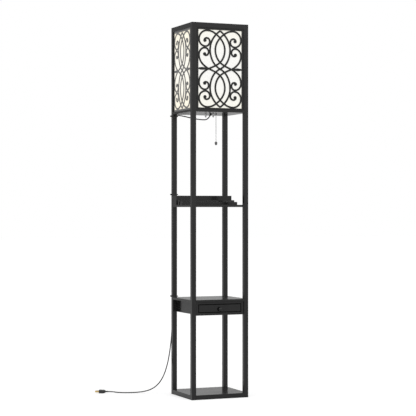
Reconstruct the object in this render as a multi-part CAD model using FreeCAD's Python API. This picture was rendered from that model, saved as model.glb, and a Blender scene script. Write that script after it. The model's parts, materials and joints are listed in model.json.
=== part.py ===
import FreeCAD, Part
import math
import os
from FreeCAD import Vector

# Shelf floor lamp: four posts, an open-topped fretwork shade, a middle shelf with a stepped
# organiser, a shelf with a drawer under it, and a bottom shelf. Millimetres, +Z up, front at -Y.
# The origin is on the floor under the middle of the lamp's box, without its cord.

# Whole lamp
width = 260.0
depth = 236.2
height = 1590.4
post_size = 19.3
edge_round = 0.9
fit_gap = 0.15

# Posts: two lengths each, joined by a stud below the middle shelf
post_joint_drop = 30.0
stud_radius = 4.0
stud_length = 44.0
stud_gap = 0.05
stud_hole_spare = 3.0

# Shelves
shelf_thickness = 9.5
bottom_shelf_thickness = 19.5
drawer_shelf_top = 420.4
middle_shelf_top = 821.5
dowel_radius = 2.5
dowel_length = 20.0
dowel_gap = 0.05
dowel_hole_spare = 1.5

# Shade
shade_bottom = 1213.9
top_rail_height = 21.0
grille_recess = 2.5
grille_thickness = 1.2
grille_stile = 11.0
grille_rail = 8.1
strand_width = 7.2
scroll_ball_radius = 7.0
bud_width = 11.0
bud_length = 42.0
lining_thickness = 0.8
lining_gap = 0.3

# Drawer case
case_recess = 5.0
case_side = 11.8
case_height = 56.8
case_rail_depth = 12.0
case_bottom_rail = 11.0
case_top_rail = 9.6
case_side_lift = 4.0
case_panel = 6.0
case_back_inset = 8.0

# Drawer
drawer_front_gap = 3.0
drawer_front_thickness = 12.0
drawer_wall = 8.0
drawer_side_gap = 1.0
drawer_lift = 0.5
drawer_back_gap = 3.0
drawer_side_drop = 7.0
drawer_bottom_thickness = 3.0
drawer_bottom_height = 3.0
knob_radius = 9.6
knob_neck_radius = 5.2
knob_neck_length = 4.0
knob_length = 13.5
knob_drop = 4.0
knob_screw_radius = 2.0
knob_screw_head_radius = 4.2
knob_screw_head = 2.2
knob_screw_reach = 9.0
knob_screw_gap = 0.05

# Organiser on the middle shelf
bin_height = 39.9
bin_reach = 40.0
bin_wall = 9.5
back_slot = 17.0
middle_bar = 14.0
middle_bar_height = 20.6
front_slot = 13.0
front_bar = 18.0
front_bar_height = 13.0

# Lampholder, bulb and pull switch
holder_flange_radius = 25.0
holder_flange_height = 5.0
holder_barrel_radius = 20.5
holder_barrel_height = 24.0
holder_collar_radius = 17.6
holder_height = 46.0
holder_floor = 20.0
holder_well_radius = 12.0
holder_well_depth = 12.0
shell_wall = 0.5
shell_gap = 0.1
contact_radius = 7.0
contact_height = 2.0
bulb_base_radius = 12.9
bulb_base_height = 25.0
bulb_base_gap = 0.25
bulb_lift = 1.5
bulb_radius = 30.0
bulb_neck_radius = 13.4
bulb_height = 84.0
bulb_wall = 1.0
bulb_shoulder = 0.55
holder_screw_offset = 16.1
holder_screw_turn = -23.0
holder_screw_radius = 1.9
holder_screw_head_radius = 2.8
holder_screw_head = 2.4
holder_screw_seat = 1.5
holder_screw_gap = 0.05
holder_nut_radius = 4.6
holder_nut_height = 4.4
holder_screw_stub = 6.6
chain_offset = 30.7
switch_length = 19.0
switch_width = 15.0
switch_height = 17.0
nozzle_radius = 4.2
nozzle_bore = 2.4
nozzle_drop = 2.0
bead_radius = 1.5
bead_pitch = 4.0
bead_count = 34
link_radius = 0.5
chain_start = 14.0
pendant_radius = 5.8
pendant_tip_radius = 3.0
pendant_height = 16.0

# Cord
cord_radius = 2.4
bushing_x = 9.2
bushing_y = 5.0
bushing_radius = 4.4
bushing_tip_radius = 3.1
bushing_flange_radius = 7.0
bushing_flange = 1.6
bushing_sleeve = 11.5
bushing_lean = 35.0
bushing_heading = 125.0
tie_width = 5.0
tie_thickness = 1.8
tie_cord_slack = 0.25
tie_bend_slack = 0.6
tie_cord_sides = 12
tie_head = 6.0
tie_head_reach = 4.6
tie_tail = 4.0
tie_tail_width = 4.0
tie_tail_gap = 0.2
tie_below_shade = 7.0
tie_lift = 5.0
plug_length = 27.0
plug_width = 24.0
plug_height = 14.0
plug_relief_length = 15.0
plug_relief_radius = 3.6
blade_length = 17.0
blade_height = 6.3
blade_thickness = 1.5
blade_spacing = 12.7
blade_root = 6.0

# Places that follow from the sizes above
knob_proud = knob_length - case_recess
mid_y = max(knob_proud, 0.0) / 2
half_width = width / 2
front_y = mid_y - depth / 2
back_y = mid_y + depth / 2
inner_x = half_width - post_size
inner_front_y = front_y + post_size
inner_back_y = back_y - post_size
post_x = half_width - post_size / 2
post_front_y = front_y + post_size / 2
post_back_y = back_y - post_size / 2
post_joint_z = middle_shelf_top - shelf_thickness - post_joint_drop
shade_floor = shade_bottom + shelf_thickness
top_rail_bottom = height - top_rail_height
case_top = drawer_shelf_top - shelf_thickness
case_bottom = case_top - case_height
case_front_y = front_y + case_recess
case_back_y = back_y - case_back_inset
case_inner_x = inner_x - case_side
drawer_floor_z = case_bottom + case_bottom_rail
nodes = {}


def box(x0, x1, y0, y1, z0, z1):
    return Part.makeBox(x1 - x0, y1 - y0, z1 - z0, Vector(x0, y0, z0))


def cylinder(radius, length, base, direction=Vector(0, 0, 1)):
    return Part.makeCylinder(radius, length, base, direction)


def eased(shape, axis, radius=edge_round):
    """The shape with its edges along one axis rounded."""
    found = []
    for edge in shape.Edges:
        along = edge.tangentAt(edge.FirstParameter)
        if abs(abs(along.dot(axis)) - 1) < 1e-6:
            found.append(edge)
    return shape.makeFillet(radius, found)


def turned(profile, x, y):
    """A solid of revolution about a vertical line, from (radius, z) corners."""
    corners = [Vector(r, 0, z) for r, z in profile]
    face = Part.Face(Part.makePolygon(corners + corners[:1]))
    solid = face.revolve(Vector(0, 0, 0), Vector(0, 0, 1), 360)
    solid.translate(Vector(x, y, 0))
    return solid


def corners():
    """The four posts' centres, with the signs of the way out and a name."""
    for y_sign, y_name, y in ((-1, "front", post_front_y), (1, "back", post_back_y)):
        for x_sign, x_name in ((-1, "left"), (1, "right")):
            yield x_sign, y_sign, x_sign * post_x, y, y_name + "_" + x_name


def dowels_at_level(z, front_place, back_place):
    """Where dowels join a level piece to the posts: a point on each post's inner side."""
    for x_sign, y_sign, x, y, name in corners():
        place = front_place if y_sign < 0 else back_place
        yield Vector(x_sign * inner_x, place, z), Vector(x_sign, 0, 0)


def dowel_at(point, direction, gap=0.0, spare=0.0):
    length = dowel_length + 2 * spare
    return cylinder(dowel_radius + gap, length, point - direction * (length / 2), direction)


def board_levels():
    """The heights at which the boards are dowelled to the posts."""
    return (
        bottom_shelf_thickness / 2,
        drawer_shelf_top - shelf_thickness / 2,
        middle_shelf_top - shelf_thickness / 2,
        shade_bottom + shelf_thickness / 2,
    )


def rail_dowels():
    """The top rails' dowels, at the middle of each rail's end."""
    z = height - top_rail_height / 2
    for x_sign, y_sign, x, y, name in corners():
        yield Vector(x_sign * inner_x, y, z), Vector(x_sign, 0, 0)
        inner_y = inner_front_y if y_sign < 0 else inner_back_y
        yield Vector(x, inner_y, z - 2 * dowel_radius - 1), Vector(0, y_sign, 0)


def case_dowels():
    """The drawer case's dowels, midway between its faces and the posts' inner sides."""
    z = (case_bottom + case_top) / 2
    return dowels_at_level(z, (case_front_y + inner_front_y) / 2, (case_back_y + inner_back_y) / 2)


def all_dowels():
    places = []
    for z in board_levels():
        places.extend(dowels_at_level(z, post_front_y, post_back_y))
    places.extend(case_dowels())
    places.extend(rail_dowels())
    return places


def bored(shape, extra=()):
    """The shape with the dowel holes that reach it, and any other cuts."""
    cuts = []
    for point, direction in all_dowels():
        hole = dowel_at(point, direction, dowel_gap, dowel_hole_spare)
        if hole.BoundBox.intersect(shape.BoundBox):
            cuts.append(hole)
    cuts.extend(extra)
    return shape.cut(cuts) if cuts else shape


def post_section(x, y, z0, z1, cuts):
    half = post_size / 2
    shape = box(x - half, x + half, y - half, y + half, z0, z1)
    return bored(eased(shape, Vector(0, 0, 1)), cuts)


def make_posts():
    studs = []
    for x_sign, y_sign, x, y, name in corners():
        hole_length = stud_length + 2 * stud_hole_spare
        hole_base = Vector(x, y, post_joint_z - hole_length / 2)
        hole = cylinder(stud_radius + stud_gap, hole_length, hole_base)
        stud_base = Vector(x, y, post_joint_z - stud_length / 2)
        studs.append(cylinder(stud_radius, stud_length, stud_base))
        nodes["post_lower_" + name] = post_section(x, y, 0, post_joint_z, [hole])
        nodes["post_upper_" + name] = post_section(x, y, post_joint_z, height, [hole])
    nodes["post_joint_studs"] = Part.makeCompound(studs)


def notched_board(z0, thickness, cuts=()):
    """A board as large as the lamp's plan, cut away round the posts."""
    board = box(-half_width, half_width, front_y, back_y, z0, z0 + thickness)
    notches = []
    for x_sign, y_sign, x, y, name in corners():
        half = post_size / 2
        notch = box(x - half, x + half, y - half, y + half, z0 - 1, z0 + thickness + 1)
        notches.append(notch)
    return bored(board.cut(notches), cuts)


def make_shelves():
    nodes["bottom_shelf"] = notched_board(0, bottom_shelf_thickness)
    nodes["drawer_shelf"] = notched_board(case_top, shelf_thickness)
    nodes["middle_shelf"] = notched_board(middle_shelf_top - shelf_thickness, shelf_thickness)
    dowels = [dowel_at(point, direction) for point, direction in all_dowels()]
    nodes["frame_dowels"] = Part.makeCompound(dowels)


def make_case():
    side_bottom = case_bottom + case_side_lift
    for x_sign, x_name in ((-1, "left"), (1, "right")):
        x0, x1 = sorted((x_sign * case_inner_x, x_sign * inner_x))
        side = box(x0, x1, case_front_y, case_back_y, side_bottom, case_top)
        rail_end = box(
            x0, x1, case_front_y, case_front_y + case_rail_depth, side_bottom, drawer_floor_z
        )
        nodes["case_side_" + x_name] = bored(side.cut(rail_end))
    rail_back = case_front_y + case_rail_depth
    nodes["case_bottom_rail"] = box(
        -inner_x, inner_x, case_front_y, rail_back, case_bottom, drawer_floor_z
    )
    nodes["case_top_rail"] = box(
        -case_inner_x, case_inner_x, case_front_y, rail_back, case_top - case_top_rail, case_top
    )
    nodes["case_bottom"] = box(
        -case_inner_x, case_inner_x, rail_back, case_back_y,
        drawer_floor_z - case_panel, drawer_floor_z
    )
    nodes["case_back"] = box(
        -case_inner_x, case_inner_x, case_back_y - case_panel, case_back_y,
        drawer_floor_z, case_top
    )


def make_drawer():
    front_x = case_inner_x - drawer_front_gap
    front_z0 = drawer_floor_z + drawer_front_gap
    front_z1 = case_top - case_top_rail - drawer_front_gap
    box_x = case_inner_x - drawer_side_gap
    box_y0 = case_front_y + drawer_front_thickness
    box_y1 = case_back_y - case_panel - drawer_back_gap
    box_z0 = drawer_floor_z + drawer_lift
    box_z1 = case_top - case_top_rail - drawer_side_drop
    bottom_z = box_z0 + drawer_bottom_height
    knob_z = (front_z0 + front_z1) / 2 - knob_drop
    axis = Vector(0, 1, 0)
    screw_hole_start = Vector(0, case_front_y - knob_screw_reach - 1, knob_z)
    screw_hole = cylinder(
        knob_screw_radius + knob_screw_gap, knob_screw_reach + box_y0 - case_front_y + 2,
        screw_hole_start, axis
    )
    front = box(-front_x, front_x, case_front_y, box_y0, front_z0, front_z1)
    front = eased(eased(front, Vector(1, 0, 0)), Vector(0, 0, 1))
    nodes["drawer_front"] = front.cut(screw_hole)

    groove = box(
        -(box_x - drawer_wall / 2), box_x - drawer_wall / 2, box_y0 - 1, box_y1 + 1,
        bottom_z - fit_gap, bottom_z + drawer_bottom_thickness + fit_gap
    )
    for x_sign, x_name in ((-1, "left"), (1, "right")):
        x0, x1 = sorted((x_sign * (box_x - drawer_wall), x_sign * box_x))
        side = box(x0, x1, box_y0, box_y1, box_z0, box_z1)
        nodes["drawer_side_" + x_name] = side.cut(groove)
    inner = box_x - drawer_wall
    nodes["drawer_back"] = box(
        -inner, inner, box_y1 - drawer_wall, box_y1,
        bottom_z + drawer_bottom_thickness + fit_gap, box_z1
    )
    panel_x = box_x - drawer_wall / 2 - fit_gap
    nodes["drawer_bottom"] = box(
        -panel_x, panel_x, box_y0 + fit_gap, box_y1, bottom_z, bottom_z + drawer_bottom_thickness
    )

    # Knob: a short neck under a domed head, its axis along Y
    dome = knob_radius * 0.45
    head_y = case_front_y - knob_neck_length
    face_y = case_front_y - knob_length
    neck = cylinder(knob_neck_radius, knob_neck_length, Vector(0, head_y, knob_z), axis)
    head = cylinder(knob_radius, head_y - face_y, Vector(0, face_y, knob_z), axis)
    rims = [edge for edge in head.Edges if isinstance(edge.Curve, Part.Circle)]
    front_rim = min(rims, key=lambda edge: edge.Curve.Center.y)
    head = head.makeFillet(dome, [front_rim])
    rims = [edge for edge in head.Edges if isinstance(edge.Curve, Part.Circle)]
    back_rim = max(rims, key=lambda edge: edge.Curve.Center.y)
    head = head.makeFillet(dome * 0.6, [back_rim])
    nodes["drawer_knob"] = neck.fuse(head).removeSplitter().cut(screw_hole)
    shank = cylinder(
        knob_screw_radius, knob_screw_reach + box_y0 - case_front_y,
        Vector(0, case_front_y - knob_screw_reach, knob_z), axis
    )
    screw_head = cylinder(
        knob_screw_head_radius, knob_screw_head, Vector(0, box_y0, knob_z), axis
    )
    nodes["drawer_knob_screw"] = shank.fuse(screw_head).removeSplitter()


def make_organiser():
    z0 = middle_shelf_top
    bin_front_y = inner_back_y - bin_reach
    bin_top = z0 + bin_height
    for x_sign, x_name in ((-1, "left"), (1, "right")):
        x0, x1 = sorted((x_sign * (half_width - bin_wall), x_sign * half_width))
        end = box(x0, x1, bin_front_y, inner_back_y, z0, bin_top)
        nodes["organiser_end_" + x_name] = eased(end, Vector(0, 0, 1), edge_round / 2)
    end_x = half_width - bin_wall
    nodes["organiser_bin_front"] = box(
        -end_x, end_x, bin_front_y, bin_front_y + bin_wall, z0, bin_top
    )
    nodes["organiser_bin_back"] = box(-inner_x, inner_x, back_y - bin_wall, back_y, z0, bin_top)
    middle_back_y = bin_front_y - back_slot
    middle_front_y = middle_back_y - middle_bar
    bar = box(-half_width, half_width, middle_front_y, middle_back_y, z0, z0 + middle_bar_height)
    nodes["organiser_middle_bar"] = eased(bar, Vector(1, 0, 0))
    front_back_y = middle_front_y - front_slot
    front_front_y = front_back_y - front_bar
    bar = box(-half_width, half_width, front_front_y, front_back_y, z0, z0 + front_bar_height)
    nodes["organiser_front_bar"] = eased(bar, Vector(1, 0, 0))


def make_top_rails():
    z0, z1 = top_rail_bottom, height
    for y_name, y0, y1 in (("front", front_y, inner_front_y), ("back", inner_back_y, back_y)):
        rail = eased(box(-inner_x, inner_x, y0, y1, z0, z1), Vector(1, 0, 0))
        nodes["top_rail_" + y_name] = bored(rail)
    for x_name, x0, x1 in (("left", -half_width, -inner_x), ("right", inner_x, half_width)):
        rail = eased(box(x0, x1, inner_front_y, inner_back_y, z0, z1), Vector(0, 1, 0))
        nodes["top_rail_" + x_name] = bored(rail)


class Fret:
    """The fretwork in one opening, drawn flat: u across from the middle, v up from the middle.

    A station is (u, v, heading): u and v are shares of the opening's half sizes, because the
    pattern fills it, and heading is the way the strand runs there, in degrees from +u, with the
    opening drawn square.
    """

    oval = ((0.0, 0.979, 202), (-0.463, 0.490, 270), (0.0, 0.0, 344))
    strand = (
        (-0.734, 0.716, 90), (-0.624, 0.786, 0), (-0.475, 0.699, 270), (-0.675, 0.572, 180),
        (-0.970, 0.753, 90), (-0.594, 0.980, 0), (0.0, 0.796, 327.6), (0.220, 0.489, 270),
        (0.0, 0.171, 209), (-0.522, 0.0, 194.3), (-0.972, -0.354, 270), (-0.702, -0.534, 0),
        (-0.529, -0.426, 90), (-0.658, -0.339, 180), (-0.738, -0.374, 270),
    )
    balls = ((-0.699, 0.724), (-0.712, -0.373))

    def __init__(self, half_u, half_v):
        self.half_u = half_u
        self.half_v = half_v
        self.half = strand_width / 2

    def point(self, u, v):
        return Vector(u * self.half_u, v * self.half_v, 0)

    def heading(self, degrees):
        """A heading of the square drawing, stretched with the opening."""
        angle = math.radians(degrees)
        return Vector(math.cos(angle) * self.half_u, math.sin(angle) * self.half_v, 0).normalize()

    def arc(self, start, way, end):
        """One arc of a strand's middle line: its two sides, and the heading at its end."""
        chord = end - start
        side = Vector(-way.y, way.x, 0)
        radius = chord.dot(chord) / (2 * side.dot(chord))
        centre = start + side * radius
        turn = 2 * math.atan2(side.dot(chord), way.dot(chord))
        sides = []
        for offset in (self.half, -self.half):
            reach = side * (offset - radius)
            sides.append([centre + rotated(reach, turn * k / 2) for k in range(3)])
        return sides, rotated(way, turn)

    def between(self, start, start_way, end, end_way):
        """Two arcs that leave start and reach end along the given headings."""
        chord = end - start
        both = start_way + end_way
        a = 4 - both.dot(both)
        b = chord.dot(both)
        reach = (math.sqrt(b * b + a * chord.dot(chord)) - b) / a
        middle = (start + end + (start_way - end_way) * reach) * 0.5
        first, way = self.arc(start, start_way, middle)
        second, way = self.arc(middle, way, end)
        return [first, second]

    def ribbon(self, stations):
        """The flat face of one strand, from its stations."""
        arcs = []
        for (start, start_way), (end, end_way) in zip(stations, stations[1:]):
            arcs.extend(self.between(start, start_way, end, end_way))
        left = [Part.Arc(*sides[0]).toShape() for sides in arcs]
        right = [Part.Arc(*reversed(sides[1])).toShape() for sides in reversed(arcs)]
        last_cap = Part.makeLine(arcs[-1][0][2], arcs[-1][1][2])
        first_cap = Part.makeLine(arcs[0][1][0], arcs[0][0][0])
        return Part.Face(Part.Wire(left + [last_cap] + right + [first_cap]))

    def quarter(self):
        """The faces that make the pattern when mirrored about both middle lines."""
        strand = [(self.point(u, v), self.heading(turn)) for u, v, turn in self.strand]
        oval = [(self.point(u, v), self.heading(turn)) for u, v, turn in self.oval]
        balls = []
        for u, v in self.balls:
            ring = Part.makeCircle(scroll_ball_radius, self.point(u, v))
            balls.append(Part.Face(Part.Wire(ring)))
        return [self.ribbon(strand), self.ribbon(oval), self.bud()] + balls

    def bud(self):
        """The spindle from a side node of the pattern to the opening's edge."""
        root = self.point(-1.0, 0.0) - Vector(1, 0, 0)
        tip = root + Vector(bud_length, 0, 0)
        middle = (root + tip) * 0.5
        rise = Vector(0, bud_width / 2, 0)
        upper = Part.Arc(root + rise * 0.35, middle + rise, tip).toShape()
        lower = Part.Arc(tip, middle - rise, root - rise * 0.35).toShape()
        close = Part.makeLine(root - rise * 0.35, root + rise * 0.35)
        return Part.Face(Part.Wire([upper, lower, close]))

    def faces(self):
        faces = self.quarter()
        for across in (Vector(1, 0, 0), Vector(0, 1, 0)):
            faces = faces + [face.mirror(Vector(0, 0, 0), across) for face in faces]
        return faces


def rotated(vector, angle):
    """A flat vector turned about Z by an angle in radians."""
    c, s = math.cos(angle), math.sin(angle)
    return Vector(vector.x * c - vector.y * s, vector.x * s + vector.y * c, 0)


def flat_rectangle(half_u, half_v):
    return Part.makePlane(2 * half_u, 2 * half_v, Vector(-half_u, -half_v, 0))


def grille_panel(half_span):
    """A flat panel of fretwork in its border, lying in the XY plane."""
    half_rise = (top_rail_bottom - shade_floor) / 2
    half_u = half_span - grille_stile
    half_v = half_rise - grille_rail
    border = flat_rectangle(half_span, half_rise).cut(flat_rectangle(half_u, half_v))
    thick = Vector(0, 0, grille_thickness)
    strands = [face.extrude(thick) for face in Fret(half_u, half_v).faces()]
    return border.extrude(thick).multiFuse(strands).removeSplitter()


def make_shade():
    middle_z = (shade_floor + top_rail_bottom) / 2
    lining_back = grille_recess + grille_thickness + lining_gap
    wide = grille_panel(inner_x)
    narrow = grille_panel(depth / 2 - post_size)
    sides = (
        ("front", wide, 0, Vector(0, front_y, 0)),
        ("right", narrow, 90, Vector(half_width, mid_y, 0)),
        ("back", wide, 180, Vector(0, back_y, 0)),
        ("left", narrow, 270, Vector(-half_width, mid_y, 0)),
    )
    for name, flat_panel, angle, place in sides:
        half_span = flat_panel.BoundBox.XMax
        panel = flat_panel.copy()
        panel.rotate(Vector(0, 0, 0), Vector(1, 0, 0), 90)
        panel.translate(Vector(0, grille_thickness + grille_recess, middle_z))
        panel.rotate(Vector(0, 0, 0), Vector(0, 0, 1), angle)
        panel.translate(place)
        nodes["grille_" + name] = panel
        sheet = box(
            -half_span + lining_gap, half_span - lining_gap,
            lining_back, lining_back + lining_thickness,
            shade_floor, top_rail_bottom
        )
        sheet.rotate(Vector(0, 0, 0), Vector(0, 0, 1), angle)
        sheet.translate(place)
        nodes["lining_" + name] = sheet


def holder_screw_places():
    turn = math.radians(holder_screw_turn)
    out = Vector(math.cos(turn), math.sin(turn), 0) * holder_screw_offset
    middle = Vector(0, mid_y, shade_bottom)
    return [middle - out, middle + out]


def holder_screw(place, gap=0.0):
    """A screw whose head is held in the lampholder's base, with its shank down past its nut."""
    below = holder_nut_height + holder_screw_stub
    seat = shelf_thickness + holder_screw_seat
    shank = cylinder(holder_screw_radius + gap, below + seat, place - Vector(0, 0, below))
    head = cylinder(
        holder_screw_head_radius + gap, holder_screw_head + 2 * gap,
        place + Vector(0, 0, seat - gap)
    )
    return shank.fuse(head)


def holder_nut(place):
    rim = []
    for k in range(7):
        angle = math.radians(60 * k + holder_screw_turn)
        spoke = Vector(math.cos(angle), math.sin(angle), 0) * holder_nut_radius
        rim.append(place + spoke - Vector(0, 0, holder_nut_height))
    return Part.Face(Part.makePolygon(rim)).extrude(Vector(0, 0, holder_nut_height))


def make_lampholder():
    base = shade_floor
    floor_z = base + holder_floor
    shell_inner = bulb_base_radius + bulb_base_gap
    shell_outer = shell_inner + shell_wall
    bore = shell_outer + shell_gap
    top = base + holder_height
    barrel_top = base + holder_flange_height + holder_barrel_height
    profile = (
        (holder_well_radius, base), (holder_flange_radius, base),
        (holder_flange_radius, base + holder_flange_height - 1.5),
        (holder_flange_radius - 1.5, base + holder_flange_height),
        (holder_barrel_radius, base + holder_flange_height), (holder_barrel_radius, barrel_top),
        (holder_collar_radius, barrel_top + 3), (holder_collar_radius, top), (bore, top),
        (bore, floor_z), (0, floor_z), (0, base + holder_well_depth),
        (holder_well_radius, base + holder_well_depth),
    )
    body = turned(profile, 0, mid_y)
    switch_x0 = chain_offset + switch_length / 3 - switch_length
    seat = box(
        switch_x0, chain_offset + switch_length, mid_y - switch_width / 2,
        mid_y + switch_width / 2, base, base + switch_height
    )
    board_holes = []
    screws = []
    cuts = [seat]
    for place in holder_screw_places():
        hole_foot = place - Vector(0, 0, 1)
        board_holes.append(
            cylinder(holder_screw_radius + fit_gap, shelf_thickness + 2, hole_foot)
        )
        screws.append(holder_screw(place).fuse(holder_nut(place)).removeSplitter())
        cuts.append(holder_screw(place, holder_screw_gap))
    nodes["lampholder_body"] = body.cut(cuts)
    nodes["lampholder_screws"] = Part.makeCompound(screws)

    shell_profile = (
        (shell_inner, floor_z), (shell_outer, floor_z),
        (shell_outer, top - 1), (shell_inner, top - 1),
    )
    nodes["lampholder_shell"] = turned(shell_profile, 0, mid_y)
    nodes["lampholder_contact"] = turned(
        ((0, floor_z), (contact_radius, floor_z), (contact_radius, floor_z + contact_height / 2),
         (2.5, floor_z + contact_height), (0, floor_z + contact_height)), 0, mid_y
    )

    # Bulb: a threaded base and a round glass on it
    bulb_z = floor_z + contact_height + bulb_lift
    cap_profile = (
        (0, bulb_z - bulb_lift), (3.5, bulb_z - bulb_lift), (bulb_base_radius - 3, bulb_z),
        (bulb_base_radius, bulb_z + 2), (bulb_base_radius, bulb_z + bulb_base_height),
        (0, bulb_z + bulb_base_height),
    )
    nodes["bulb_base"] = turned(cap_profile, 0, mid_y)
    neck_z = bulb_z + bulb_base_height
    nodes["bulb_glass"] = bulb_form(neck_z, 0).cut(bulb_form(neck_z, bulb_wall))

    # Pull switch: a housing beside the body, with a nozzle down through the board
    housing = box(
        switch_x0 + fit_gap, chain_offset + switch_length / 3,
        mid_y - switch_width / 2 + fit_gap, mid_y + switch_width / 2 - fit_gap,
        base, base + switch_height - fit_gap
    )
    nozzle_length = shelf_thickness + nozzle_drop
    chain_foot = Vector(chain_offset, mid_y, shade_bottom - nozzle_drop)
    nozzle = cylinder(nozzle_radius, nozzle_length, chain_foot)
    bore_cut = cylinder(nozzle_bore, nozzle_length + switch_height - 4, chain_foot)
    nodes["pull_switch_housing"] = housing.fuse(nozzle).removeSplitter().cut(bore_cut)
    board_holes.append(
        cylinder(nozzle_radius + fit_gap, nozzle_length + 2, chain_foot - Vector(0, 0, 1))
    )
    bushing_foot = Vector(bushing_x, mid_y + bushing_y, shade_bottom)
    board_holes.append(
        cylinder(bushing_radius + fit_gap, shelf_thickness + 2, bushing_foot - Vector(0, 0, 1))
    )
    nodes["shade_board"] = notched_board(shade_bottom, shelf_thickness, board_holes)
    make_chain()


def bulb_form(neck_z, inset):
    """The bulb's globe on its neck, open below, or the space inside it at a wall's inset."""
    radius = bulb_radius - inset
    centre_z = neck_z + bulb_height - bulb_radius
    shoulder = bulb_shoulder * radius
    globe = Part.makeSphere(radius, Vector(0, mid_y, centre_z))
    neck = Part.makeCone(
        bulb_neck_radius - inset, math.sqrt(radius ** 2 - shoulder ** 2),
        centre_z - shoulder - neck_z, Vector(0, mid_y, neck_z)
    )
    return globe.fuse(neck).removeSplitter()


def make_chain():
    """A bead chain and the pendant on its end, hanging from the pull switch."""
    top_z = shade_bottom - nozzle_drop + chain_start
    bottom_z = top_z - bead_pitch * (bead_count - 1)
    link = cylinder(link_radius, top_z - bottom_z, Vector(chain_offset, mid_y, bottom_z))
    beads = [
        Part.makeSphere(bead_radius, Vector(chain_offset, mid_y, bottom_z + bead_pitch * k))
        for k in range(1, bead_count)
    ]
    pendant_top = bottom_z + bead_radius
    nodes["pull_chain"] = link.multiFuse(beads).cut(
        cylinder(pendant_radius, bead_pitch, Vector(chain_offset, mid_y, pendant_top - bead_pitch))
    )
    foot = pendant_top - pendant_height
    profile = (
        (0, foot), (pendant_radius - 1.2, foot), (pendant_radius, foot + 1.2),
        (pendant_radius, foot + pendant_height * 0.45),
        (pendant_tip_radius, pendant_top - 1.0), (pendant_tip_radius - 1.0, pendant_top),
        (0, pendant_top),
    )
    nodes["chain_pendant"] = turned(profile, chain_offset, mid_y)


def cord_route():
    """The cord's corner points, from its strain relief under the shade to the plug."""
    route = [
        Vector(2.8, mid_y + 14.2, 1197.9),
        Vector(-1.2, mid_y + 19.8, 1192.8),
        Vector(-5.9, mid_y + 26.3, 1189.9),
        Vector(-11.8, mid_y + 34.6, 1189.5),
        Vector(-21.4, mid_y + 48.0, 1190.9),
        Vector(-36.9, mid_y + 69.8, 1195.0),
        Vector(-54.7, mid_y + 95.2, 1201.6),
        Vector(-65.0, mid_y + 110.0, 1205.9),
        Vector(-73.5, mid_y + 116.9, 1208.2),
        Vector(-83.6, mid_y + 120.6, 1210.2),
        Vector(-95.2, mid_y + 121.4, 1211.4),
        Vector(-104.9, mid_y + 121.5, 1209.5),
        Vector(-113.0, mid_y + 121.4, 1204.4),
        Vector(-118.8, mid_y + 121.2, 1196.9),
        Vector(-121.9, mid_y + 121.0, 1187.5),
        Vector(-122.0, mid_y + 121.0, 418.0),
        Vector(-122.6, mid_y + 121.2, 362.0),
        Vector(-124.0, mid_y + 121.8, 308.0),
        Vector(-126.4, mid_y + 123.3, 258.0),
        Vector(-130.0, mid_y + 125.8, 212.0),
        Vector(-135.6, mid_y + 128.6, 168.0),
        Vector(-143.5, mid_y + 132.5, 124.0),
        Vector(-155.5, mid_y + 138.4, 82.0),
        Vector(-173.0, mid_y + 147.0, 47.0),
        Vector(-198.0, mid_y + 159.4, 22.0),
        Vector(-229.0, mid_y + 174.8, 9.0),
        Vector(-263.0, mid_y + 191.8, 4.3),
        Vector(-299.0, mid_y + 209.6, 2.5),
        Vector(-328.0, mid_y + 224.0, 2.9),
        Vector(-347.0, mid_y + 233.4, 4.6),
        Vector(-361.0, mid_y + 240.3, 6.8),
        Vector(-375.0, mid_y + 247.2, plug_height / 2),
    ]
    return [bushing_point(bushing_sleeve)] + route


def tube(points):
    """A round tube along straight runs joined by arcs as large as the runs allow."""
    edges = []
    start = points[0]
    for before, corner, after in zip(points, points[1:], points[2:]):
        back = before - corner
        ahead = after - corner
        shorter = min(back.Length, ahead.Length)
        back.normalize()
        ahead.normalize()
        half_turn = (math.pi - back.getAngle(ahead)) / 2
        radius = 0.45 * shorter / math.tan(half_turn)
        print("cord bend radius", round(radius, 1), "turn", round(math.degrees(2 * half_turn), 1))
        arc_start = corner + back * (0.45 * shorter)
        arc_end = corner + ahead * (0.45 * shorter)
        bisector = (back + ahead).normalize()
        arc_middle = corner + bisector * (radius / math.cos(half_turn) - radius)
        edges.append(Part.LineSegment(start, arc_start).toShape())
        edges.append(Part.Arc(arc_start, arc_middle, arc_end).toShape())
        start = arc_end
    edges.append(Part.LineSegment(start, points[-1]).toShape())
    path = Part.Wire(edges)
    profile = Part.Wire(Part.makeCircle(cord_radius, points[0], points[1] - points[0]))
    solid = path.makePipeShell([profile], True, False)
    section = math.pi * cord_radius ** 2
    print("cord length", round(path.Length, 1), "volume ratio",
          round(solid.Volume / (section * path.Length), 4))
    return solid


def bushing_way():
    """The way the strain relief's sleeve points: down, leaning to the back left."""
    lean = math.radians(bushing_lean)
    heading = math.radians(bushing_heading)
    aside = math.sin(lean)
    return Vector(aside * math.cos(heading), aside * math.sin(heading), -math.cos(lean))


def bushing_point(reach):
    """A point on the sleeve's axis, below the shade board's underside."""
    return Vector(bushing_x, mid_y + bushing_y, shade_bottom) + bushing_way() * reach


def make_cord():
    route = cord_route()
    nodes["cord"] = tube(route)
    foot = Vector(bushing_x, mid_y + bushing_y, shade_bottom)
    flange = cylinder(bushing_flange_radius, bushing_flange, foot - Vector(0, 0, bushing_flange))
    neck = cylinder(bushing_radius, shelf_thickness, foot)
    sleeve = Part.makeCone(
        bushing_radius, bushing_tip_radius, bushing_sleeve, bushing_point(0), bushing_way()
    )
    above = cylinder(2 * bushing_radius, 2 * bushing_radius, foot)
    nodes["cord_bushing"] = neck.fuse([flange, sleeve.cut(above)]).removeSplitter()
    make_ties()
    make_plug(route[-2], route[-1])


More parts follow.
